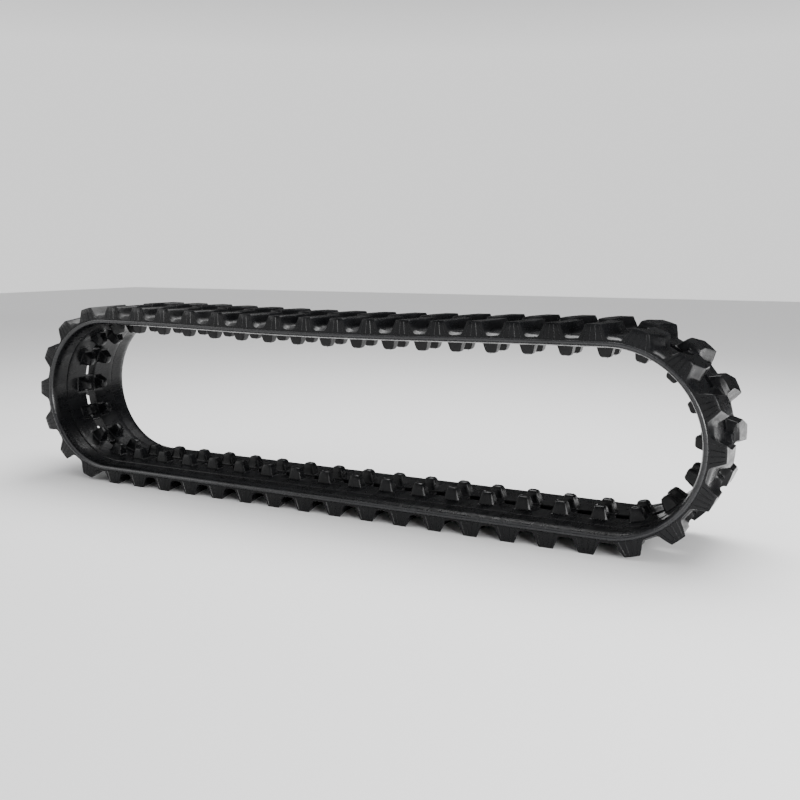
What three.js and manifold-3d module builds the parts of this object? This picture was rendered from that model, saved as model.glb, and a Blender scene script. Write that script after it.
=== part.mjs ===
// Endless rubber track of a mini excavator, 230 mm wide, 46 links at 72 mm pitch, standing on its lower run.
//
// Lengths are millimetres. X runs along the track, Y across it, Z up. The origin is on the ground under
// the middle of the lower run.
//
// The belt is described in three running coordinates:
//   s  distance along the pitch line (the line of the steel cords, which never stretches), from the middle
//      of the lower run, round the front end, back along the upper run and round the rear end
//   y  distance across the belt
//   h  height above the pitch line towards the inside of the loop: guide lugs +, tread lugs -
//
// The loop bends at four places, so it is four rubber sections with their own cord belts and steel cores.

import * as THREE from 'three';
import Module from 'manifold-3d';
import { mergeVertices } from 'three/addons/utils/BufferGeometryUtils.js';

const wasm = await Module();
wasm.setup();

// ---- driving dimensions -------------------------------------------------------------------------------

const PITCH = 72;
const LINKS = 46;
const WIDTH = 230;
const HALF_STRAIGHT = 566.4;                     // half the length of each straight run
const FIRST_LINK = 33;                           // s of the first core past the middle of the lower run
const UPPER_SAG = 7;                             // how far the free upper run hangs in its middle

const LOOP_LENGTH = PITCH * LINKS;
const END_RADIUS = (LOOP_LENGTH - 4 * HALF_STRAIGHT) / (2 * Math.PI);
const END_ARC = Math.PI * END_RADIUS;

const TREAD_DEPTH = 31;                          // pitch line to the ground faces of the tread lugs
const CARCASS_OUT = 10;                          // pitch line to the bare belt between the tread lugs
const CARCASS_IN = 10;                           // pitch line to the roller path beside the guide lugs
const FLANGE_IN = 9;                             // pitch line to the flange outside the roller path
const EDGE_IN = 5.5;                             // pitch line to the top of the edge bead
const EDGE_OUT = 5;                              // pitch line to the underside of the edge bead
const GUIDE_HEIGHT = 34;                         // pitch line to the tips of the guide lugs

const RUN_LINKS = 16;                            // links in each straight section
const END_LINKS = 7;                             // links in each curved section
const BEND_HALF_ANGLE = THREE.MathUtils.degToRad(7);
const BEND_GAP = 0.2;                            // half the gap between sections on the bend axis
const FIT_GAP = 0.3;                             // rubber to steel

const WINDOW = { length: 38, halfWidth: 13.5, reach: 16 };

const CORE = {
  wingHalfLength: 84, wingHalfWidth: 17, bottom: 2.9, top: 7.7,
  barHalfLength: 12.8, barHalfWidth: 18.9,
  hornInner: 17, hornOuter: 33, hornHalfWidth: 11, hornRoot: 6.9,
  hornTip: 31, tipInner: 19.5, tipOuter: 30, tipHalfLength: 5.5,
};

const GUIDE = {
  root: 5, inner: 14, outer: 38, halfLength: 17,
  tipInner: 16.5, tipOuter: 33.5, tipHalfLength: 8.5,
};

const LUG = { root: -4, flare: 7 };              // flare: how much wider the root outline is than the face
const BRIDGE = { halfLength: 14, halfWidth: 19, depth: -22 };

const CORD = { inner: 43, outer: 100, bottom: -3, top: 0.6, endGap: 1 };

const ARC_STEP = PITCH / 2;
const UPPER_STEP = 4;                            // arc steps to one step of the gently hanging upper run

// ---- materials ----------------------------------------------------------------------------------------

const RUBBER = { color: 0x1b1c1e, roughness: 0.62, metalness: 0 };
const STEEL = { color: 0x6d6f73, roughness: 0.5, metalness: 0.9 };
const CORD_STEEL = { color: 0xa58d5c, roughness: 0.4, metalness: 0.9 };

// ---- the pitch line -----------------------------------------------------------------------------------

const AXIS_HEIGHT = TREAD_DEPTH + END_RADIUS;

// Place of the pitch line at s, with its direction of travel as an angle in the XZ plane.
function pitchLine(s) {
  const run = 2 * HALF_STRAIGHT;
  const along = THREE.MathUtils.euclideanModulo(s + HALF_STRAIGHT, LOOP_LENGTH);
  if (along < run) return { x: along - HALF_STRAIGHT, z: AXIS_HEIGHT - END_RADIUS, angle: 0 };
  if (along < run + END_ARC) return arcPoint(HALF_STRAIGHT, (along - run) / END_RADIUS);
  if (along < 2 * run + END_ARC) return upperPoint(HALF_STRAIGHT - (along - run - END_ARC));
  return arcPoint(-HALF_STRAIGHT, Math.PI + (along - 2 * run - END_ARC) / END_RADIUS);
}

function arcPoint(centre, angle) {
  return {
    x: centre + END_RADIUS * Math.sin(angle),
    z: AXIS_HEIGHT - END_RADIUS * Math.cos(angle),
    angle,
  };
}

function upperPoint(x) {
  const phase = Math.PI * x / HALF_STRAIGHT;
  const drop = UPPER_SAG * (1 + Math.cos(phase)) / 2;
  const slope = UPPER_SAG * Math.PI / (2 * HALF_STRAIGHT) * Math.sin(phase);
  return { x, z: AXIS_HEIGHT + END_RADIUS - drop, angle: Math.PI + Math.atan(slope) };
}

// Local axes at s: X along the travel, Y across, Z towards the inside of the loop.
function frameAt(s) {
  const { x, z, angle } = pitchLine(s);
  const turn = new THREE.Matrix4().makeRotationY(-angle);
  return turn.setPosition(x, 0, z);
}

// ---- closed solids ------------------------------------------------------------------------------------

// Closed solid through rings of points, each ring the same outline in the same turning sense.
function loft(rings, capOutline) {
  const count = capOutline.length;
  const points = rings.flat();
  const caps = THREE.ShapeUtils.triangulateShape(capOutline, []);
  const index = [];
  const last = (rings.length - 1) * count;
  for (const [a, b, c] of caps) {
    index.push(c, b, a);
    index.push(last + a, last + b, last + c);
  }
  for (let ring = 0; ring < last; ring += count) {
    for (let i = 0; i < count; i += 1) {
      const next = (i + 1) % count;
      index.push(ring + i, ring + next, ring + count + next);
      index.push(ring + i, ring + count + next, ring + count + i);
    }
  }
  const geometry = new THREE.BufferGeometry().setFromPoints(points);
  geometry.setIndex(index);
  return geometry;
}

// Block between two outlines in the (x, y) plane, at heights low and high.
function block(lowOutline, low, highOutline, high) {
  const ring = (outline, h) => outline.map(([x, y]) => new THREE.Vector3(x, y, h));
  const cap = lowOutline.map(([x, y]) => new THREE.Vector2(x, y));
  return loft([ring(lowOutline, low), ring(highOutline, high)], cap);
}

function rectangle(x0, x1, y0, y1) {
  return [[x0, y0], [x1, y0], [x1, y1], [x0, y1]];
}

// Belt section: an outline in (y, h) swept along the pitch line from s0 to s1.
function sweep(outline, s0, s1) {
  const rings = stations(s0, s1).map((s) => {
    const frame = frameAt(s);
    return outline.map(([y, h]) => new THREE.Vector3(0, y, h).applyMatrix4(frame));
  });
  return loft(rings, outline.map(([y, h]) => new THREE.Vector2(y, h)));
}

// Steps along the pitch line: none on the flat lower run, one per two links on the upper run, two per link
// on the ends.
// They count from the planes midway between cores, so that every sweep bends at the same places.
function stations(s0, s1) {
  const run = 2 * HALF_STRAIGHT;
  const tangents = [-HALF_STRAIGHT, HALF_STRAIGHT, HALF_STRAIGHT + END_ARC, HALF_STRAIGHT + END_ARC + run,
    LOOP_LENGTH - HALF_STRAIGHT];
  const origin = FIRST_LINK + PITCH / 2;
  const list = [s0, ...tangents, s1];
  for (let step = Math.ceil((s0 - origin) / ARC_STEP); origin + step * ARC_STEP < s1; step += 1) {
    const { angle } = pitchLine(origin + step * ARC_STEP);
    const onArc = Math.abs(Math.sin(angle)) > 0.03;
    const onUpper = !onArc && Math.cos(angle) < 0;
    if (onArc || (onUpper && step % UPPER_STEP === 0)) list.push(origin + step * ARC_STEP);
  }
  const inside = list.filter((s) => s >= s0 && s <= s1).sort((p, q) => p - q);
  return inside.filter((s, i) => i === 0 || s - inside[i - 1] > 1e-3);
}

function toSolid(geometry) {
  const bare = geometry.clone();
  bare.deleteAttribute('normal');
  bare.deleteAttribute('uv');
  const merged = mergeVertices(bare, 1e-4);
  return new wasm.Manifold(new wasm.Mesh({
    numProp: 3,
    vertProperties: new Float32Array(merged.attributes.position.array),
    triVerts: new Uint32Array(merged.index.array),
  }));
}

function toGeometry(solid) {
  const { vertProperties, triVerts } = solid.getMesh();
  const geometry = new THREE.BufferGeometry();
  geometry.setAttribute('position', new THREE.BufferAttribute(new Float32Array(vertProperties), 3));
  geometry.setIndex(new THREE.BufferAttribute(new Uint32Array(triVerts), 1));
  geometry.computeVertexNormals();
  return geometry;
}

const placed = (geometry, s) => toSolid(geometry.clone().applyMatrix4(frameAt(s)));

// ---- steel core: a wing plate with two horns ----------------------------------------------------------
//
// The plate is wider between the horns, so that the sprocket's teeth push on bare steel in the windows.

function coreGeometry(clearance) {
  const c = clearance;
  const plate = plateOutline(c);
  let solid = toSolid(block(plate, CORE.bottom - c, plate, CORE.top + c));
  for (const side of [-1, 1]) {
    const foot = hornOutline(side, CORE.hornInner - c, CORE.hornOuter + c, CORE.hornHalfWidth + c);
    const top = hornOutline(side, CORE.tipInner - c, CORE.tipOuter + c, CORE.tipHalfLength + c);
    solid = solid.add(toSolid(block(foot, CORE.hornRoot, top, CORE.hornTip + c)));
  }
  return toGeometry(solid);
}

function plateOutline(clearance) {
  const [wing, across] = [CORE.wingHalfWidth + clearance, CORE.wingHalfLength + clearance];
  const [bar, reach] = [CORE.barHalfWidth + clearance, CORE.barHalfLength + clearance];
  const half = [[wing, -across], [wing, -reach], [bar, -reach], [bar, reach], [wing, reach], [wing, across]];
  return [...half, ...half.map(([x, y]) => [-x, -y])];
}

function hornOutline(side, inner, outer, halfLength) {
  const [y0, y1] = side > 0 ? [inner, outer] : [-outer, -inner];
  return rectangle(-halfLength, halfLength, y0, y1);
}

// ---- rubber -------------------------------------------------------------------------------------------

// Belt cross-section in (y, h): rounded edge beads, a step up to the roller path beside the guide lugs.
function carcassOutline() {
  const edge = WIDTH / 2;
  const half = [
    [edge, -2.5], [edge - 1, EDGE_IN - 1.5], [edge - 18, FLANGE_IN], [71, FLANGE_IN], [69, CARCASS_IN],
  ];
  const under = [[edge - 5, -EDGE_OUT], [edge - 12, -CARCASS_OUT]];
  const left = [...half, ...half.map(([y, h]) => [-y, h]).reverse()];
  return [...under.slice().reverse(), ...left, ...under.map(([y, h]) => [-y, h])];
}

function guideLug(side) {
  const foot = hornOutline(side, GUIDE.inner, GUIDE.outer, GUIDE.halfLength);
  const tip = hornOutline(side, GUIDE.tipInner, GUIDE.tipOuter, GUIDE.tipHalfLength);
  return block(foot, GUIDE.root, tip, GUIDE_HEIGHT);
}

// One half of a tread bar: it slants back along the belt from its end at the edge, then runs square to it.
// side -1 is the half at -Y; the other half is the same one turned round the link's middle.
function treadLug(side) {
  const edge = WIDTH / 2;
  const outline = (flare, reach) => [
    [-13 - flare, -edge + reach], [13 + flare, -edge + reach], [-1 + flare, -62],
    [-1 + flare, -15 + flare / 4], [-27 - flare, -15 + flare / 4], [-27 - flare, -62],
  ];
  const turn = side < 0 ? 1 : -1;
  const turned = (points) => points.map(([x, y]) => [turn * x, turn * y]);
  const root = turned(outline(LUG.flare, 5));
  const face = turned(outline(0, 3));
  return block(face, -TREAD_DEPTH, root, LUG.root);
}

// Low rib over the core's middle, between the two halves of a tread bar.
function bridgeRib() {
  const { halfLength, halfWidth, depth } = BRIDGE;
  const root = rectangle(-halfLength, halfLength, -halfWidth, halfWidth);
  const face = rectangle(-halfLength + 4, halfLength - 4, -halfWidth, halfWidth);
  return block(face, depth, root, LUG.root);
}

// Everything before a bend plane, or past it: a wedge whose sides lean away from the bend axis.
function bendCutter(direction) {
  const far = 60;
  const lean = BEND_GAP + far * Math.tan(BEND_HALF_ANGLE);
  const outline = [[-far, -far], [lean, -far], [BEND_GAP, 0], [lean, far], [-far, far]]
    .map(([x, z]) => new THREE.Vector2(x * direction, z));
  if (direction < 0) outline.reverse();
  const across = WIDTH / 2 + 10;
  const rings = [across, -across].map((y) => outline.map((p) => new THREE.Vector3(p.x, y, p.y)));
  return loft(rings, outline);
}

function windowCutter() {
  const { length, halfWidth, reach } = WINDOW;
  const outline = rectangle(-length / 2, length / 2, -halfWidth, halfWidth);
  return block(outline, -reach - TREAD_DEPTH, outline, reach);
}

function cordOutline(side, clearance) {
  const { inner, outer, bottom, top } = CORD;
  const [y0, y1] = side > 0 ? [inner, outer] : [-outer, -inner];
  return rectangle(y0 - clearance, y1 + clearance, bottom - clearance, top + clearance);
}

// ---- assembly -----------------------------------------------------------------------------------------

// Each section runs between two bend planes, which lie midway between cores.
const SECTIONS = [
  { name: 'bottom_run', first: -8, links: RUN_LINKS },
  { name: 'front_end', first: 8, links: END_LINKS },
  { name: 'top_run', first: 15, links: RUN_LINKS },
  { name: 'rear_end', first: 31, links: END_LINKS },
];

const linkPlace = (link) => FIRST_LINK + link * PITCH;

function rubberSection({ first, links }) {
  const s0 = linkPlace(first) - PITCH / 2;
  const s1 = s0 + links * PITCH;
  const overlap = 6;
  const added = [toSolid(sweep(carcassOutline(), s0 - overlap, s1 + overlap))];
  const removed = [placed(bendCutter(1), s0), placed(bendCutter(-1), s1), placed(windowCutter(), s0)];
  for (const side of [-1, 1]) {
    removed.push(toSolid(sweep(cordOutline(side, FIT_GAP), s0 - overlap, s1 + overlap)));
  }
  for (let link = first; link < first + links; link += 1) {
    const s = linkPlace(link);
    for (const side of [-1, 1]) {
      added.push(placed(guideLug(side), s));
      added.push(placed(treadLug(side), s));
    }
    added.push(placed(bridgeRib(), s));
    removed.push(placed(coreGeometry(FIT_GAP), s));
    removed.push(placed(windowCutter(), s + PITCH / 2));
  }
  const rubber = wasm.Manifold.union(added).subtract(wasm.Manifold.union(removed));
  return toGeometry(rubber);
}

function addMesh(parent, name, geometry, material) {
  const mesh = new THREE.Mesh(geometry, material);
  mesh.name = name;
  parent.add(mesh);
  return mesh;
}

const rubberMaterial = new THREE.MeshStandardMaterial(RUBBER);
const steelMaterial = new THREE.MeshStandardMaterial(STEEL);
const cordMaterial = new THREE.MeshStandardMaterial(CORD_STEEL);

const track = new THREE.Group();
track.name = 'rubber_track';

for (const section of SECTIONS) {
  const group = new THREE.Group();
  track.add(group);
  addMesh(group, `${section.name}_rubber`, rubberSection(section), rubberMaterial);
  const s0 = linkPlace(section.first) - PITCH / 2 + CORD.endGap;
  const s1 = s0 + section.links * PITCH - 2 * CORD.endGap;
  for (const [side, label] of [[-1, 'right'], [1, 'left']]) {
    addMesh(group, `${section.name}_cord_belt_${label}`, sweep(cordOutline(side, 0), s0, s1), cordMaterial);
  }
}

const core = coreGeometry(0);
for (let link = 0; link < LINKS; link += 1) {
  const first = SECTIONS[0].first;
  const { x, z, angle } = pitchLine(linkPlace(first + link));
  const mesh = addMesh(track, `core_${String(link + 1).padStart(2, '0')}`, core, steelMaterial);
  mesh.position.set(x, 0, z);
  mesh.rotation.set(0, -angle, 0);
}

export default track;
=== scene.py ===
"""Endless rubber track of a mini excavator: the moulded rubber belt and its finish, around the CAD frame.

Belt lengths are millimetres in the running coordinates of one link:
  u  along the travel, from the middle of the link's steel core
  y  across the belt
  h  above the pitch line towards the inside of the loop (guide lugs +, tread lugs -)
They become metres when a link is placed on the pitch line.
"""
import math
import random

import bmesh
import bpy
import numpy as np
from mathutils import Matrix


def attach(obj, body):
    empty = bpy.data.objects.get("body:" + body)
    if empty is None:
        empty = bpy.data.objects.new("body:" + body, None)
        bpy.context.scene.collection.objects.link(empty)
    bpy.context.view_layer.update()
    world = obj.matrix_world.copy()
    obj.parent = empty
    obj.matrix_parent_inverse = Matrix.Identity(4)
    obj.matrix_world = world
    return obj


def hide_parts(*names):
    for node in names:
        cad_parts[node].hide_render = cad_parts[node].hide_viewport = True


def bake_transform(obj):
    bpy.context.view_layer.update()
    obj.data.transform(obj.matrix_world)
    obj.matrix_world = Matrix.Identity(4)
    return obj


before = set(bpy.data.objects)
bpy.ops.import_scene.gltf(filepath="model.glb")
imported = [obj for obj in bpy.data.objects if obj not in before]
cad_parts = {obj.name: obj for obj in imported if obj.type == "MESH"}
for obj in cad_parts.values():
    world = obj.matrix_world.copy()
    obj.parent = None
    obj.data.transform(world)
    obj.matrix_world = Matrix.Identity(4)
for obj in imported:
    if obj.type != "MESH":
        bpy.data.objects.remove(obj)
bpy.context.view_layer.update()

# ---- driving dimensions of the loop ---------------------------------------------------------------------

MM = 0.001
PITCH = 72.0
LINKS = 46
HALF_STRAIGHT = 566.4
FIRST_CORE = -543.0        # distance of core_01 along the pitch line from the middle of the lower run
UPPER_SAG = 7.0
TREAD_DEPTH = 31.0

LOOP_LENGTH = PITCH * LINKS
END_RADIUS = (LOOP_LENGTH - 4 * HALF_STRAIGHT) / (2 * math.pi)
END_ARC = math.pi * END_RADIUS
AXIS_HEIGHT = TREAD_DEPTH + END_RADIUS

# ---- moulded shape --------------------------------------------------------------------------------------

ROLLER_PATH = 10.3
FLANGE = 9.3
CORE_BAR = 9.2             # rubber over the middle of a core, between two windows
ARM_SHIFT = 14.0           # how far a tread lug's arm steps along the belt from its edge pad
WINDOW_EDGE = 13.0         # half the width of a sprocket window
PARTING = -3.0             # height of the mould's parting line on the edge
EDGE_ROOT = 113.4          # the edge at the parting line
EDGE_LEAN = 1.8            # how much further in the top of an edge pad is
MOUTH_START = 96.0         # from here to the edge the floor of a valley between lugs rounds off
MOUTH_END = 113.0
MOUTH_FALL = 7.3
VALLEY_FLOOR = (13.0, 20.5)    # drops between which a point comes to belong to the floor of a valley
RIB_END = (14.0, 18.6)         # y between which the low rib at the middle rises into a lug's arm
PAD_START = (92, 107)          # y between which the arm widens into the edge pad
SHIFT_IN = (13.2, 17.0)        # y between which the arm's step along the belt begins
SHIFT_OUT = (61, 112)          # y between which the step runs out again
CORNER_PULL = 0.88             # draws in the corners of each level of a guide lug
SAME_Y = 0.01                  # rows nearer than this lie at the same y

# Half profiles of one pitch of tread, valley to lug centre: distance from the centre, drop from the lug's top
EDGE_PAD = [(36, 20.5), (30, 20.5), (25, 19.6), (21.6, 17.4), (18.9, 13.2),
            (16.7, 8.4), (14.7, 3.6), (13.2, 0.6), (12.6, 0.0), (0, 0.0)]
ARM = [(36, 20.5), (29, 20.5), (22.6, 20.4), (20.4, 18.9), (18.5, 14.4),
       (16.5, 9.0), (14.7, 4.2), (13.3, 0.6), (12.7, 0.0), (0, 0.0)]
RIB = [(36, 20.5), (27, 20.5), (22, 20.5), (18.5, 20.7), (17.2, 19.4),
       (15.8, 15.6), (14.6, 11.8), (13.4, 9.4), (12.4, 9.0), (0, 9.0)]
# The wheel side: distance from the lug centre, and which of the guide lug's levels it has reached
GUIDE_COLUMNS = [(36, 0), (27, 0), (22, 0), (18.5, 0), (15.9, 1),
                 (12.9, 2), (10.8, 3), (9.0, 4), (5.8, 5), (0, 5)]
GUIDE_LEVELS = [ROLLER_PATH, 11.6, 22.0, 29.4, 32.7, 34.0]
HALF_COUNT = len(ARM) - 1
COLUMNS = 2 * HALF_COUNT
WINDOW_COLUMN = 3          # columns up to this one lie over the window

# Rows of the half section: y across the tread, then (share of the flank, inset), then (y, h) or (y, level)
TREAD_ROWS = [0, 6.5, WINDOW_EDGE, 14.2, 15.2, 16.2, 17.2, 18.2, 19.4, 28, 40, 52, 58, 64, 70, 76, 82, 88,
              94, 98.5, 102, 105, 107.8, 110.4]
FLANK_STEPS = [(0.0, 0.7), (0.04, 0.1), (0.4, 0.0), (0.8, 0.0), (1.0, 0.0)]
BEAD_ROWS = [(112.2, -3.0), (112.3, -2.5), (113.5, -2.2), (114.5, -1.3), (115.0, 0.0), (115.0, 1.5),
             (114.4, 3.2), (113.0, 5.0), (110.6, 6.6), (106, 7.9), (101.5, 9.0)]
BEAD_TOP = 7               # rows of the bead below this height carry its lighter rubber, a painted highlight
FLANGE_ROWS = [(100, FLANGE), (92, FLANGE), (82, FLANGE), (72.6, FLANGE), (72.0, FLANGE - 0.8),
               (70.6, FLANGE - 0.8), (70.0, ROLLER_PATH - 0.2), (69.2, ROLLER_PATH), (58, ROLLER_PATH),
               (48, ROLLER_PATH), (42, ROLLER_PATH)]
GUIDE_ROWS = [(39.4, 0), (37.7, 1), (35.9, 2), (34.5, 3), (33.2, 4), (30.4, 5), (25.4, 5),
              (20.2, 5), (17.9, 4), (16.7, 3), (15.7, 2), (14.7, 1), (14.1, 0)]
CENTRE_ROWS = [WINDOW_EDGE, 6.5, 0]
GUIDE_MIDDLE = 25.5        # y of the middle of a guide lug


# ---- the pitch line -------------------------------------------------------------------------------------

def upper_point(x):
    """Place and direction of the gently hanging upper run at x."""
    phase = math.pi * x / HALF_STRAIGHT
    drop = UPPER_SAG * (1 + math.cos(phase)) / 2
    slope = UPPER_SAG * math.pi / (2 * HALF_STRAIGHT) * math.sin(phase)
    return x, AXIS_HEIGHT + END_RADIUS - drop, math.pi + math.atan(slope)


def arc_point(centre, angle):
    """Place and direction of an end curve, at an angle from its lowest point."""
    return centre + END_RADIUS * math.sin(angle), AXIS_HEIGHT - END_RADIUS * math.cos(angle), angle


def pitch_line(s):
    """x, z and direction of travel of the pitch line at distance s from the middle of the lower run."""
    run = 2 * HALF_STRAIGHT
    along = (s + HALF_STRAIGHT) % LOOP_LENGTH
    if along < run:
        return along - HALF_STRAIGHT, AXIS_HEIGHT - END_RADIUS, 0.0
    if along < run + END_ARC:
        return arc_point(HALF_STRAIGHT, (along - run) / END_RADIUS)
    if along < 2 * run + END_ARC:
        return upper_point(HALF_STRAIGHT - (along - run - END_ARC))
    return arc_point(-HALF_STRAIGHT, math.pi + (along - 2 * run - END_ARC) / END_RADIUS)


def ease(t):
    t = np.clip(t, 0, 1)
    return t * t * (3 - 2 * t)


def lean_place(u):
    """Where on the pitch line to take the direction of height from: lugs stay near square to their core."""
    link = round(u / PITCH)
    past = u / PITCH - link
    return PITCH * (link + math.copysign(2 * past * past, past))


def on_belt(link, points):
    """Points (u, y, h) in mm of a link, as x, y, z in metres."""
    core = FIRST_CORE + (link - 1) * PITCH
    placed = []
    for u, y, h in points:
        x, z, _ = pitch_line(core + u)
        angle = pitch_line(core + lean_place(u))[2]
        placed.append((x - h * math.sin(angle), y, z + h * math.cos(angle)))
    return np.array(placed) * MM


# ---- the belt's cross-section, row by row ---------------------------------------------------------------

def step(a, b, x):
    """0 up to a, 1 from b on, and eased in between."""
    return float(ease((x - a) / (b - a)))


def both_sides(half):
    """One pitch of columns, valley to valley, from a half profile that runs from the valley to the crest."""
    return [(-d, v) for d, v in half] + [(d, v) for d, v in half[-2:0:-1]]


def mix(p, q, t):
    """The half profile that is t of the way from p to q."""
    return [(a + (c - a) * t, b + (d - b) * t) for (a, b), (c, d) in zip(p, q)]


def arm_shift(y):
    """Shift of the lug's centre line along the belt: none at the edge, most on the arms."""
    low, high = SHIFT_OUT
    return ARM_SHIFT * step(*SHIFT_IN, y) * min(1.0, (high - y) / (high - low))


def tread_profile(y):
    """Distances from the lug's centre line and heights, over one pitch, at y."""
    lug = mix(ARM, EDGE_PAD, step(*PAD_START, y))
    half = mix(RIB, lug, step(*RIB_END, y))
    return [(d, drop + mouth_fall(drop, y) - TREAD_DEPTH) for d, drop in both_sides(half)]


def mouth_fall(drop, y):
    """How far the floor of a valley has rounded off towards the edge of the belt."""
    along = max(0.0, (y - MOUTH_START) / (MOUTH_END - MOUTH_START))
    return MOUTH_FALL * along * along * step(*VALLEY_FLOOR, drop)


def flank_y(h):
    """The outer face of the edge pads leans in a little from the parting line to the ground."""
    return EDGE_ROOT - (PARTING - h) * EDGE_LEAN / (TREAD_DEPTH + PARTING)


def tread_row(y):
    """Rows near the edge reach further out where the tread is lower, because the flank leans."""
    near_edge = max(0.0, (y - MOUTH_START) / (TREAD_ROWS[-1] - MOUTH_START))
    row = []
    for d, h in tread_profile(y):
        reach = (flank_y(h) - flank_y(-TREAD_DEPTH)) * near_edge
        row.append((arm_shift(y) + d, y + reach, h))
    return row


def flank_row(depth, inset):
    """Row on the outer face, a share of the way from the tread to the parting line."""
    row = []
    for d, top in tread_profile(TREAD_ROWS[-1]):
        h = top + (PARTING - top) * depth
        row.append((d, flank_y(h) - inset, h))
    return row


def wheel_side_row(y, h):
    return [(u, y, h) for u, _ in both_sides(GUIDE_COLUMNS)]


def guide_row(y, row_level):
    """Row over the guide lug: each point is as high as its row and its column both reach."""
    row = []
    for u, column_level in both_sides(GUIDE_COLUMNS):
        level = min(row_level, column_level)
        corner = level > 0 and row_level == column_level and column_level < len(GUIDE_LEVELS) - 1
        pull = CORNER_PULL if corner else 1.0
        row.append((u * pull, GUIDE_MIDDLE + (y - GUIDE_MIDDLE) * pull, GUIDE_LEVELS[level]))
    return row


def half_section():
    """Rows from the middle of the tread, round the edge, to the middle of the wheel side."""
    rows = [tread_row(y) for y in TREAD_ROWS]
    rows += [flank_row(depth, inset) for depth, inset in FLANK_STEPS]
    rows += [wheel_side_row(y, h) for y, h in BEAD_ROWS + FLANGE_ROWS]
    rows += [guide_row(y, level) for y, level in GUIDE_ROWS]
    rows += [wheel_side_row(y, CORE_BAR) for y in CENTRE_ROWS]
    return rows


def half_turned(row):
    """The other half of the belt is the same half turned round the middle of the link."""
    turned = [(-u, -y, h) for u, y, h in row]
    turned = [turned[-i % COLUMNS] for i in range(COLUMNS)]
    u, y, h = turned[0]
    turned[0] = (u - PITCH, y, h)
    return turned


def whole_section():
    half = half_section()
    return np.array(half + [half_turned(row) for row in half[-2:0:-1]], float)


SECTION = whole_section()
ROWS = len(SECTION)
MID_COLUMN = HALF_COUNT
ROW_Y = SECTION[:, MID_COLUMN, 1]
TREAD_SIDE = SECTION[:, MID_COLUMN, 2] < 0
OVER_WINDOW = np.abs(ROW_Y) < WINDOW_EDGE + SAME_Y
WINDOW_FACES = [r for r in range(ROWS) if OVER_WINDOW[r] and OVER_WINDOW[(r + 1) % ROWS]]
WINDOW_SIDES = [r for r in range(ROWS) if TREAD_SIDE[r] and abs(abs(ROW_Y[r]) - WINDOW_EDGE) < SAME_Y]
BEAD_Y = {y for y, h in BEAD_ROWS if h < BEAD_TOP}
ON_BEAD = [abs(ROW_Y[r]) in BEAD_Y and abs(ROW_Y[(r + 1) % ROWS]) in BEAD_Y for r in range(ROWS)]


def facing_row(row):
    """The row on the other side of the belt at the same y, for the rows over the windows."""
    return next(r for r in range(ROWS)
                if TREAD_SIDE[r] != TREAD_SIDE[row] and abs(ROW_Y[r] - ROW_Y[row]) < SAME_Y)


# ---- runs of belt ---------------------------------------------------------------------------------------

PIVOT_ANGLES = [25, 50, 75]    # rings of the rounded end at the open pivot, in degrees round its axis
PIVOT_STEP = 0.04              # columns held back at the pivot's plane keep this far apart
KNUCKLE = 9.5                  # how far the rounded end reaches past the pivot's plane
SOCKET_GAP = 0.25              # how much deeper its socket is
KNUCKLE_WIDTH = 0.96           # of the belt's width, so that the socket's sides are closed
SOCKET_WIDTH = 0.963


def column_points(column, split):
    """Points (u, y, h) of one column; beside the open pivot they keep to their side of its plane."""
    points = SECTION[:, column % COLUMNS].copy()
    if column == COLUMNS:
        points[:, 0] += PITCH
    half = PITCH / 2
    if split == "end":
        limit = half - PIVOT_STEP * (COLUMNS - column)
        points[:, 0] = half if column == COLUMNS else np.minimum(points[:, 0], limit)
    if split == "start":
        limit = PIVOT_STEP * column - half
        points[:, 0] = -half if column == 0 else np.maximum(points[:, 0], limit)
    return points


def pivot_rings(link, side):
    """Rounded end past the pivot's plane: the knuckle of one run, or the socket in the start of the next."""
    socket = side == "start"
    base = column_points(0 if socket else COLUMNS, side)
    rings = []
    for degrees in PIVOT_ANGLES:
        angle = math.radians(degrees)
        ring = base.copy()
        ring[:, 0] += KNUCKLE * math.sin(angle) + (SOCKET_GAP if socket else 0)
        ring[:, 1] *= SOCKET_WIDTH if socket else KNUCKLE_WIDTH
        ring[:, 2] *= math.cos(angle)
        rings.append(on_belt(link, ring))
    return rings


def add_belt(bm, first, last, split_start=False, split_end=False):
    """Belt from the core of link first to the core of link last, or to the open pivot past or before it."""
    stops = []
    for link in range(first, last + 1):
        low = 0 if link > first or split_start else MID_COLUMN
        high = COLUMNS if link == last and split_end else (MID_COLUMN if link == last else COLUMNS - 1)
        stops += [(link, column) for column in range(low, high + 1)]
    rings = []
    over_window = []
    for link, column in stops:
        split = ""
        if split_start and link == first and column < MID_COLUMN:
            split = "start"
        if split_end and link == last and column > MID_COLUMN:
            split = "end"
        rings.append(on_belt(link, column_points(column, split)))
        over_window.append(min(column, COLUMNS - column) <= WINDOW_COLUMN)
    if split_end:
        rings += pivot_rings(last, "end")
        over_window += [True] * len(PIVOT_ANGLES)
    if split_start:
        rings = pivot_rings(first, "start")[::-1] + rings
        over_window = [True] * len(PIVOT_ANGLES) + over_window
    grid = [[bm.verts.new(p) for p in ring] for ring in rings]
    for c in range(len(grid) - 1):
        window = over_window[c] and over_window[c + 1]
        for r in range(ROWS):
            if not (window and r in WINDOW_FACES):
                n = (r + 1) % ROWS
                face = bm.faces.new((grid[c][r], grid[c][n], grid[c + 1][n], grid[c + 1][r]))
                face.material_index = int(ON_BEAD[r])
        if window:
            for r in WINDOW_SIDES:
                f = facing_row(r)
                bm.faces.new((grid[c][r], grid[c + 1][r], grid[c + 1][f], grid[c][f]))
    for c in range(1, len(grid) - 1):
        if over_window[c] and over_window[c - 1] != over_window[c + 1]:
            add_cross_wall(bm, grid[c])
    for c in (0, len(grid) - 1):
        add_cap(bm, grid[c], over_window[c])


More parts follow.
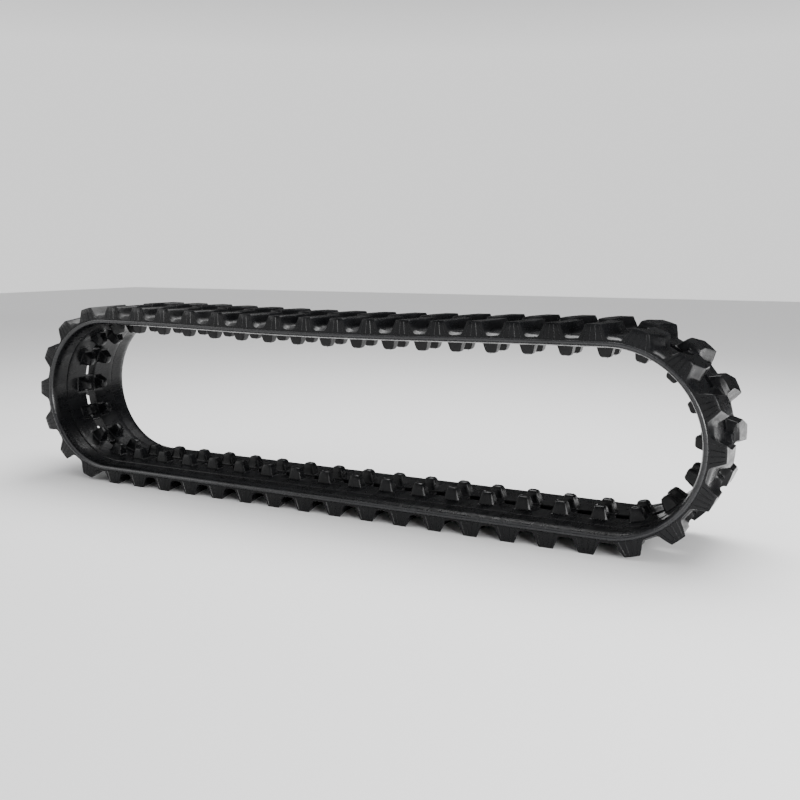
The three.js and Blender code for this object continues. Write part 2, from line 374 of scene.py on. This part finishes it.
def add_cross_wall(bm, ring):
    """Wall of a window across the belt, along the side of a core."""
    for r in WINDOW_FACES:
        n = (r + 1) % ROWS
        if TREAD_SIDE[r] and TREAD_SIDE[n]:
            bm.faces.new((ring[r], ring[n], ring[facing_row(n)], ring[facing_row(r)]))


def add_cap(bm, ring, over_window):
    """Closes an end of a run, as two halves where the end lies over a window."""
    if not over_window:
        bm.faces.new(ring)
        return
    for side in (-1, 1):
        bm.faces.new([ring[r] for r in range(ROWS) if side * ROW_Y[r] > WINDOW_EDGE - SAME_Y])


# ---- small moulded detail -------------------------------------------------------------------------------

ALONG = (1, 0, 0)          # directions in (u, y, h)
UPWARD = (0, 0, 1)

# Ridges of each kind: width, height, and how far the foot is sunk into the rubber
FLANK_RIDGE = (1.7, 0.8, 0.4)
BEAD_RIDGE = (1.5, 0.3, 0.8)
TICK_RIDGE = (1.0, 0.3, 0.3)

FLANK_RIBS = [-1.5, -0.5, 0.5, 1.5]        # places in the fan, in ribs from its middle
FLANK_RIB_DEPTHS = (0.04, 0.35, 0.68, 0.95)
FLANK_RIB_TOP = 0.6                        # below the parting line
FLANK_RIB_MARGIN = 2.4                     # what the fan leaves free of the flank's height
FAN_SPACING = 11.5                         # between ribs at the parting line
FAN_CLOSING = 5.0                          # and by how much less at the ground
BEAD_RIBS = [-15, -5, 5, 15, 36]           # places along the link
BEAD_RIB_PATH = ((114.5, -1.6), (115.0, 0.6), (114.4, 3.2), (111, 6.2))
BEAD_RIB_RISE = 0.4                        # how far its crest turns upwards
FLANGE_TICKS = [14, 19, 24, 29]            # distances from the core
FLANGE_TICK_PATH = (76, 86, 98)

NIB_SIDES = 7
NIB_ALONG = (-3.5, 3.5)                    # ranges of a stub's place, height and lean
NIB_ACROSS = (22.5, 28)
NIB_TALL = (0.9, 2.0)
NIB_LEAN = (-0.5, 0.5)
NIB_FOOT = [(-0.3, 0.85), (0.4, 0.6)]      # height over the lug's tip, and radius
NIB_TIP_RADIUS = 0.5


def add_ridge(bm, link, path, across, up, width, height, sink):
    """Low triangular ridge along path; across and up are directions in (u, y, h)."""
    across, up = np.array(across, float), np.array(up, float)
    rings = []
    for p in np.array(path, float):
        corners = [p - across * width / 2 - up * sink, p + across * width / 2 - up * sink, p + up * height]
        rings.append([bm.verts.new(q) for q in on_belt(link, corners)])
    for a, b in zip(rings, rings[1:]):
        for i in range(3):
            j = (i + 1) % 3
            bm.faces.new((a[i], a[j], b[j], b[i]))
    bm.faces.new(rings[0][::-1])
    bm.faces.new(rings[-1])


def add_edge_detail(bm, link):
    """Fanning ribs on the outer face of each edge pad, and short ribs across the bead under it."""
    for side in (-1, 1):
        for place in FLANK_RIBS:
            path = []
            for depth in FLANK_RIB_DEPTHS:
                h = PARTING - FLANK_RIB_TOP - (TREAD_DEPTH + PARTING - FLANK_RIB_MARGIN) * depth
                path.append((place * (FAN_SPACING - FAN_CLOSING * depth), side * flank_y(h), h))
            add_ridge(bm, link, path, ALONG, (0, side, 0), *FLANK_RIDGE)
        for place in BEAD_RIBS:
            path = [(place, side * y, h) for y, h in BEAD_RIB_PATH]
            add_ridge(bm, link, path, ALONG, (0, side, BEAD_RIB_RISE), *BEAD_RIDGE)


def add_flange_ticks(bm, link, side):
    """Fine lines across the flange beside each core, left by joints in the mould."""
    for place in FLANGE_TICKS:
        path = [(side * place, side * y, FLANGE) for y in FLANGE_TICK_PATH]
        add_ridge(bm, link, path, ALONG, UPWARD, *TICK_RIDGE)


def add_vent_nibs(bm, link, rng):
    """Stubs of rubber left by the mould's vents on the tips of the guide lugs."""
    top = GUIDE_LEVELS[-1]
    for side in (-1, 1):
        u = rng.uniform(*NIB_ALONG)
        y = side * rng.uniform(*NIB_ACROSS)
        tall = rng.uniform(*NIB_TALL)
        lean = rng.uniform(*NIB_LEAN)
        rings = []
        for rise, radius in NIB_FOOT + [(tall, NIB_TIP_RADIUS)]:
            ring = [(u + lean * rise + radius * math.cos(a), y + radius * math.sin(a), top + rise)
                    for a in (math.tau * k / NIB_SIDES for k in range(NIB_SIDES))]
            rings.append([bm.verts.new(p) for p in on_belt(link, ring)])
        for a, b in zip(rings, rings[1:]):
            for i in range(NIB_SIDES):
                n = (i + 1) % NIB_SIDES
                bm.faces.new((a[i], a[n], b[n], b[i]))
        bm.faces.new(rings[0][::-1])
        bm.faces.new(rings[-1])


# ---- materials ------------------------------------------------------------------------------------------

NOISE_LOW = 0.3            # most values of a noise texture lie between these
NOISE_HIGH = 0.7
BLACK = (0.0, 0.0, 0.0)
WHITE = (1.0, 1.0, 1.0)
# Grey of the sparse specks on the rubber: partly dust, partly painted glints
DUST_AND_GLINT_GREY = (0.05, 0.051, 0.054)


def new_material(name, colour, roughness, metallic=0.0):
    material = bpy.data.materials.new(name)
    material.use_nodes = True
    shader = material.node_tree.nodes["Principled BSDF"]
    shader.inputs["Base Color"].default_value = (*colour, 1)
    shader.inputs["Roughness"].default_value = roughness
    shader.inputs["Metallic"].default_value = metallic
    return material, material.node_tree, shader


def noise(tree, coordinates, scale, detail=4.0, roughness=0.55, stretch=(1, 1, 1)):
    mapping = tree.nodes.new("ShaderNodeMapping")
    mapping.inputs["Scale"].default_value = stretch
    tree.links.new(coordinates, mapping.inputs["Vector"])
    texture = tree.nodes.new("ShaderNodeTexNoise")
    texture.inputs["Scale"].default_value = scale
    texture.inputs["Detail"].default_value = detail
    texture.inputs["Roughness"].default_value = roughness
    tree.links.new(mapping.outputs["Vector"], texture.inputs["Vector"])
    return texture.outputs["Fac"]


def ramp(tree, value, low, high, colours):
    """Colours spread evenly from low to high."""
    node = tree.nodes.new("ShaderNodeValToRGB")
    stops = node.color_ramp.elements
    while len(stops) < len(colours):
        stops.new(1.0)
    for i, (stop, colour) in enumerate(zip(stops, colours)):
        stop.position = low + (high - low) * i / (len(colours) - 1)
        stop.color = (*colour, 1)
    tree.links.new(value, node.inputs["Fac"])
    return node.outputs["Color"]


def spread(tree, value, low, high):
    """A noise's values spread out from low to high."""
    node = tree.nodes.new("ShaderNodeMapRange")
    node.inputs["From Min"].default_value = NOISE_LOW
    node.inputs["From Max"].default_value = NOISE_HIGH
    node.inputs["To Min"].default_value = low
    node.inputs["To Max"].default_value = high
    tree.links.new(value, node.inputs["Value"])
    return node.outputs["Result"]


def bump(tree, height, strength, distance, normal=None):
    node = tree.nodes.new("ShaderNodeBump")
    node.inputs["Strength"].default_value = strength
    node.inputs["Distance"].default_value = distance
    tree.links.new(height, node.inputs["Height"])
    if normal is not None:
        tree.links.new(normal, node.inputs["Normal"])
    return node.outputs["Normal"]


def object_coordinates(tree):
    return tree.nodes.new("ShaderNodeTexCoord").outputs["Object"]


def rubber_material(name, dark, light, smooth, rough, specular):
    """Moulded black rubber: flow marks and a faint bloom on a satin skin with a fine grain, and sparse grey
    specks that are partly dust and partly painted glints.
    """
    material, tree, shader = new_material(name, dark, rough)
    place = object_coordinates(tree)
    bloom = noise(tree, place, scale=14, detail=6, roughness=0.6)
    colour = ramp(tree, bloom, low=0.35, high=0.75, colours=[dark, light])
    # Sparse grey specks in the base colour: partly dust, partly painted glints that stand in for tiny
    # highlights
    specks = noise(tree, place, scale=330, detail=5, roughness=0.7)
    dust_and_glint_mask = ramp(tree, specks, low=0.64, high=0.72, colours=[BLACK, WHITE])
    with_dust_and_glints = tree.nodes.new("ShaderNodeMixRGB")
    with_dust_and_glints.inputs["Color2"].default_value = (*DUST_AND_GLINT_GREY, 1)
    tree.links.new(dust_and_glint_mask, with_dust_and_glints.inputs["Fac"])
    tree.links.new(colour, with_dust_and_glints.inputs["Color1"])
    tree.links.new(with_dust_and_glints.outputs["Color"], shader.inputs["Base Color"])
    streaks = noise(tree, place, scale=55, detail=5, roughness=0.6, stretch=(1, 0.35, 1))
    tree.links.new(spread(tree, streaks, smooth, rough), shader.inputs["Roughness"])
    swell = bump(tree, noise(tree, place, scale=70, detail=3), strength=0.5, distance=0.0009)
    grain = bump(tree, noise(tree, place, scale=1500, detail=3), strength=0.2, distance=0.00012, normal=swell)
    tree.links.new(grain, shader.inputs["Normal"])
    shader.inputs["Specular IOR Level"].default_value = specular
    return material


def core_material():
    """Forged steel with scale, as it shows in the sprocket windows."""
    material, tree, shader = new_material("forged_steel", (0.2, 0.2, 0.21), roughness=0.5, metallic=0.85)
    place = object_coordinates(tree)
    scale = noise(tree, place, scale=160, detail=6, roughness=0.65)
    colour = ramp(tree, scale, low=0.35, high=0.68, colours=[(0.09, 0.085, 0.085), (0.3, 0.3, 0.31)])
    tree.links.new(colour, shader.inputs["Base Color"])
    tree.links.new(spread(tree, scale, low=0.62, high=0.38), shader.inputs["Roughness"])
    tree.links.new(bump(tree, scale, strength=0.4, distance=0.0003), shader.inputs["Normal"])
    return material


def cord_material():
    """Brass-coated steel cords laid side by side along the belt, each twisted from strands."""
    brass = (0.4, 0.29, 0.14)
    material, tree, shader = new_material("brass_coated_cord", brass, roughness=0.35, metallic=0.95)
    place = object_coordinates(tree)
    lay = tree.nodes.new("ShaderNodeTexWave")
    lay.bands_direction = "Y"
    lay.inputs["Scale"].default_value = 110
    lay.inputs["Distortion"].default_value = 0.6
    lay.inputs["Detail Scale"].default_value = 8
    tree.links.new(place, lay.inputs["Vector"])
    cords = lay.outputs["Fac"]
    colour = ramp(tree, cords, low=0.15, high=0.85, colours=[(0.12, 0.08, 0.04), (0.45, 0.34, 0.17)])
    tree.links.new(colour, shader.inputs["Base Color"])
    tree.links.new(bump(tree, cords, strength=0.6, distance=0.0004), shader.inputs["Normal"])
    return material


# ---- assembly -------------------------------------------------------------------------------------------

SHARP_ANGLE = math.radians(34)
rubber = rubber_material(
    "moulded_rubber",
    dark=(0.0022, 0.0023, 0.0026),
    light=(0.0056, 0.0058, 0.0066),
    smooth=0.17,
    rough=0.4,
    specular=0.22,
)
# The bead's rubber is a lighter copy of the rubber: its lighter base colour is a painted highlight along the
# rounded bead, and its higher specular is real gloss.
bead_painted_highlight_rubber = rubber_material(
    "polished_rubber",
    dark=(0.006, 0.0062, 0.007),
    light=(0.016, 0.0165, 0.0184),
    smooth=0.2,
    rough=0.34,
    specular=0.5,
)
core_steel = core_material()
cord_steel = cord_material()


def belt_piece(name, first, last, **splits):
    """Belt from the core of link first to the core of link last, with its small detail and both finishes."""
    bm = bmesh.new()
    add_belt(bm, first, last, **splits)
    rng = random.Random(name)
    for link in range(first, last + 1):
        if link < last or splits.get("split_end"):
            add_edge_detail(bm, link)
            add_flange_ticks(bm, link, 1)
            add_vent_nibs(bm, link, rng)
        if link > first or splits.get("split_start"):
            add_flange_ticks(bm, link, -1)
    in_windows = [v for v in bm.verts if not v.link_faces]
    bmesh.ops.delete(bm, geom=in_windows, context="VERTS")
    bmesh.ops.recalc_face_normals(bm, faces=bm.faces)
    mesh = bpy.data.meshes.new(name)
    bm.to_mesh(mesh)
    bm.free()
    mesh.polygons.foreach_set("use_smooth", [True] * len(mesh.polygons))
    mesh.set_sharp_from_angle(angle=SHARP_ANGLE)
    mesh.materials.append(rubber)
    # The second slot takes the bead's lighter rubber, a painted highlight
    mesh.materials.append(bead_painted_highlight_rubber)
    obj = bpy.data.objects.new(name, mesh)
    bpy.context.scene.collection.objects.link(obj)
    return obj


RUNS = [
    ("bottom_run", 1, 16, {"split_end": True}),
    ("front_end", 17, 23, {"split_start": True}),
    ("top_run", 24, 39, {}),
    ("rear_end", 40, 46, {}),
]
BENDS = [
    ("front_upper", 23, "front_end", "top_run"),
    ("rear_upper", 39, "top_run", "rear_end"),
    ("rear_lower", 46, "rear_end", "bottom_run"),
]
for body, first, last, splits in RUNS:
    piece = belt_piece(f"belt_{body}", first, last, **splits)
    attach(piece, body)
    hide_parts(f"{body}_rubber")

# A bend piece is the belt from the core at the end of one run to the core at the start of the next, baked in
# place
for label, link, before, after in BENDS:
    piece = belt_piece(f"belt_bend_{label}", link, link + 1)
    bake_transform(piece)

for name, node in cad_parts.items():
    finish = core_steel if name.startswith("core_") else cord_steel
    if not name.endswith("_rubber"):
        for s in node.material_slots:
            s.material = finish

# ---- floor, light and camera ----------------------------------------------------------------------------

FLOOR_REACH = 9
FLOOR_CORNERS = [(x * FLOOR_REACH, y * FLOOR_REACH, 0) for x, y in ((-1, -1), (1, -1), (1, 1), (-1, 1))]
FLOOR_GREY = 0.9
BOARD_FOOT = [(-6.0, 3.7), (0.9, 3.7), (4.6, 1.6)]
BOARD_HEIGHT = 2.4
BOARD_CORNERS = [(x, y, z) for z in (0, BOARD_HEIGHT) for x, y in BOARD_FOOT]
BOARD_GREY = 0.02
STAGE_ROUGHNESS = 0.8


def stage_panel(name, corners, faces, grey):
    mesh = bpy.data.meshes.new(name)
    mesh.from_pydata(corners, [], faces)
    finish, _, _ = new_material(f"{name}_finish", (grey,) * 3, STAGE_ROUGHNESS)
    mesh.materials.append(finish)
    panel = bpy.data.objects.new(name, mesh)
    bpy.context.scene.collection.objects.link(panel)
    return panel


stage_panel("floor", FLOOR_CORNERS, [(0, 1, 2, 3)], FLOOR_GREY)

# A studio's dark board behind the track, which only the gloss of the rubber sees
board = stage_panel("dark_board", BOARD_CORNERS, [(0, 1, 4, 3), (1, 2, 5, 4)], BOARD_GREY)
board.visible_camera = False
board.visible_diffuse = False
board.visible_shadow = False


def area_light(name, place, target, size, power):
    """Soft rectangular light at place, facing target; metres and watts."""
    light = bpy.data.lights.new(name, "AREA")
    light.shape = "RECTANGLE"
    light.size, light.size_y = size
    light.energy = power
    obj = bpy.data.objects.new(name, light)
    obj.location = place
    aim = np.array(target, float) - np.array(place, float)
    yaw = math.atan2(-aim[0], aim[1])
    pitch = math.atan2(aim[2], math.hypot(aim[0], aim[1]))
    obj.rotation_euler = (math.pi / 2 + pitch, 0, yaw)
    bpy.context.scene.collection.objects.link(obj)


CENTRE = (0, 0, 0.2)
FRONT_END = (0.6, 0, 0.3)
area_light("soft_top", place=(0.2, 0.7, 2.3), target=CENTRE, size=(2.6, 1.4), power=85)
area_light("soft_right", place=(2.2, -0.9, 0.6), target=FRONT_END, size=(1.8, 0.7), power=60)
area_light("soft_left", place=(-2.2, -1.4, 1.3), target=CENTRE, size=(1.4, 1.4), power=16)

SKY_DIM = (0.1, 0.1, 0.11)
SKY_STRENGTH = 1.2
world = bpy.data.worlds.new("studio")
world.use_nodes = True
sky = world.node_tree
height = sky.nodes.new("ShaderNodeSeparateXYZ")
sky.links.new(sky.nodes.new("ShaderNodeTexCoord").outputs["Generated"], height.inputs["Vector"])
# White below, round the horizon and overhead, and dim in between
fade = ramp(sky, height.outputs["Z"], low=0.2, high=0.8, colours=[WHITE, SKY_DIM, SKY_DIM, WHITE])
sky.links.new(fade, sky.nodes["Background"].inputs["Color"])
sky.nodes["Background"].inputs["Strength"].default_value = SKY_STRENGTH
bpy.context.scene.world = world

CAMERA_PLACE = (0.9945, -1.6716, 0.5148)
CAMERA_YAW = -0.482
CAMERA_PITCH = -0.079
FOCAL_LENGTH = 952.9       # in the same unit as the width of the frame
FRAME_WIDTH = 800
SENSOR_WIDTH = 36
SHIFT_Y = -0.0906
camera_data = bpy.data.cameras.new("camera")
camera_data.sensor_width = SENSOR_WIDTH
camera_data.lens = FOCAL_LENGTH * camera_data.sensor_width / FRAME_WIDTH
camera_data.shift_y = SHIFT_Y
camera = bpy.data.objects.new("camera", camera_data)
camera.location = CAMERA_PLACE
camera.rotation_euler = (math.pi / 2 + CAMERA_PITCH, 0, -CAMERA_YAW)
bpy.context.scene.collection.objects.link(camera)
bpy.context.scene.camera = camera
